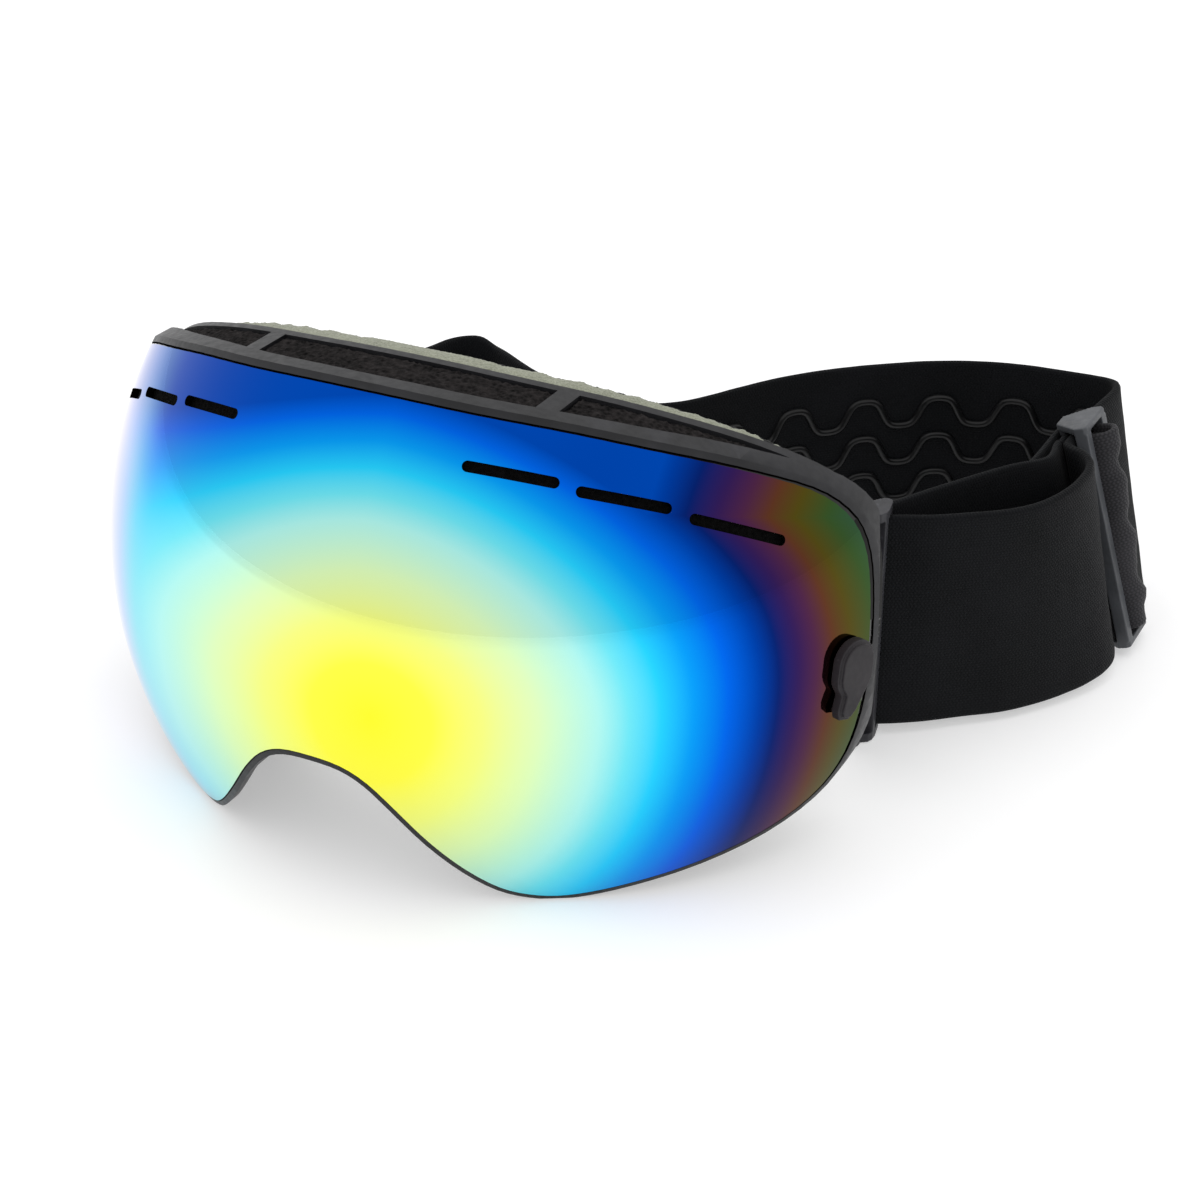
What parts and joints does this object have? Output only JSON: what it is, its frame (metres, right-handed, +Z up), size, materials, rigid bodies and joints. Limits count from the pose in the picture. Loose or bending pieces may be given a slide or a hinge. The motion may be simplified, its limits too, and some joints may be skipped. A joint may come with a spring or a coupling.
{
  "type": "ski goggles",
  "caption": "Ski goggles with a spherical mirrored lens, vented frame, face foam, turning lens latch, swivelling buckles and an adjustable elastic strap with silicone grip.",
  "frame": {"origin": "centre of the bounding box in plan, on the surface the goggles rest on", "axes": "+Z up, the lens faces -Y, the wearer's left is +X"},
  "size_m": [0.2046, 0.203, 0.099],
  "materials": {
    "frame": "satin",
    "outer_lens": "polished blue to yellow interference mirror on a clear carrier",
    "inner_lens": "clear with a light tint",
    "gasket": "matte",
    "filter_foam": "open-cell reticulated foam",
    "face_foam": "soft closed foam, pale olive grey",
    "fleece": "brushed fleece",
    "hardware": "black oxide",
    "buckle": "satin",
    "latch": "fine matte grain",
    "webbing": "ribbed elastic webbing",
    "adjuster": "satin",
    "silicone": "glossy",
    "thread": "sewn thread"
  },
  "bodies": {
    "goggles": {"frame": "frame", "outer_lens": "outer_lens", "inner_lens": "inner_lens", "lens_gasket": "gasket", "slot_filters": "filter_foam", "top_vent_foam": "filter_foam", "bottom_vent_foam": "filter_foam", "face_foam": "face_foam", "face_fleece": "fleece", "arm_right": "frame", "arm_left": "frame", "arm_screws": "hardware", "buckle_pin_right": "buckle", "buckle_pin_left": "buckle", "strap_band": "webbing", "grip_waves": "silicone", "strap_return_right": "webbing", "strap_return_left": "webbing", "bar_tacks_left": "thread"},
    "buckle_right": {"buckle_right": "buckle", "strap_wrap_right": "webbing"},
    "buckle_left": {"buckle_left": "buckle", "strap_wrap_left": "webbing"},
    "latch": {"latch": "latch", "latch_stem": "latch"},
    "adjuster": {"adjuster": "adjuster", "strap_hem": "webbing", "strap_fold": "webbing", "bar_tacks_right": "thread"}
  },
  "joints": [
    {"name": "buckle_right_swivel", "type": "hinge", "parent": "goggles", "child": "buckle_right", "pos_m": [0.05571, -0.00288, 0.0277], "axis": [0, 0, 1], "range_deg": [-15, 15]},
    {"name": "buckle_left_swivel", "type": "hinge", "parent": "goggles", "child": "buckle_left", "pos_m": [-0.08429, -0.00288, 0.0277], "axis": [0, 0, 1], "range_deg": [-15, 15]},
    {"name": "latch_turn", "type": "hinge", "parent": "goggles", "child": "latch", "pos_m": [0.0702, -0.04393, 0.04362], "axis": [0.9284, -0.3676, 0.0541], "range_deg": [0, 95]},
    {"name": "adjuster_slide", "type": "slide", "parent": "goggles", "child": "adjuster", "axis": [0, 1, 0], "range_m": [0, 0.006], "deforming": ["strap_return_right"]}
  ]
}
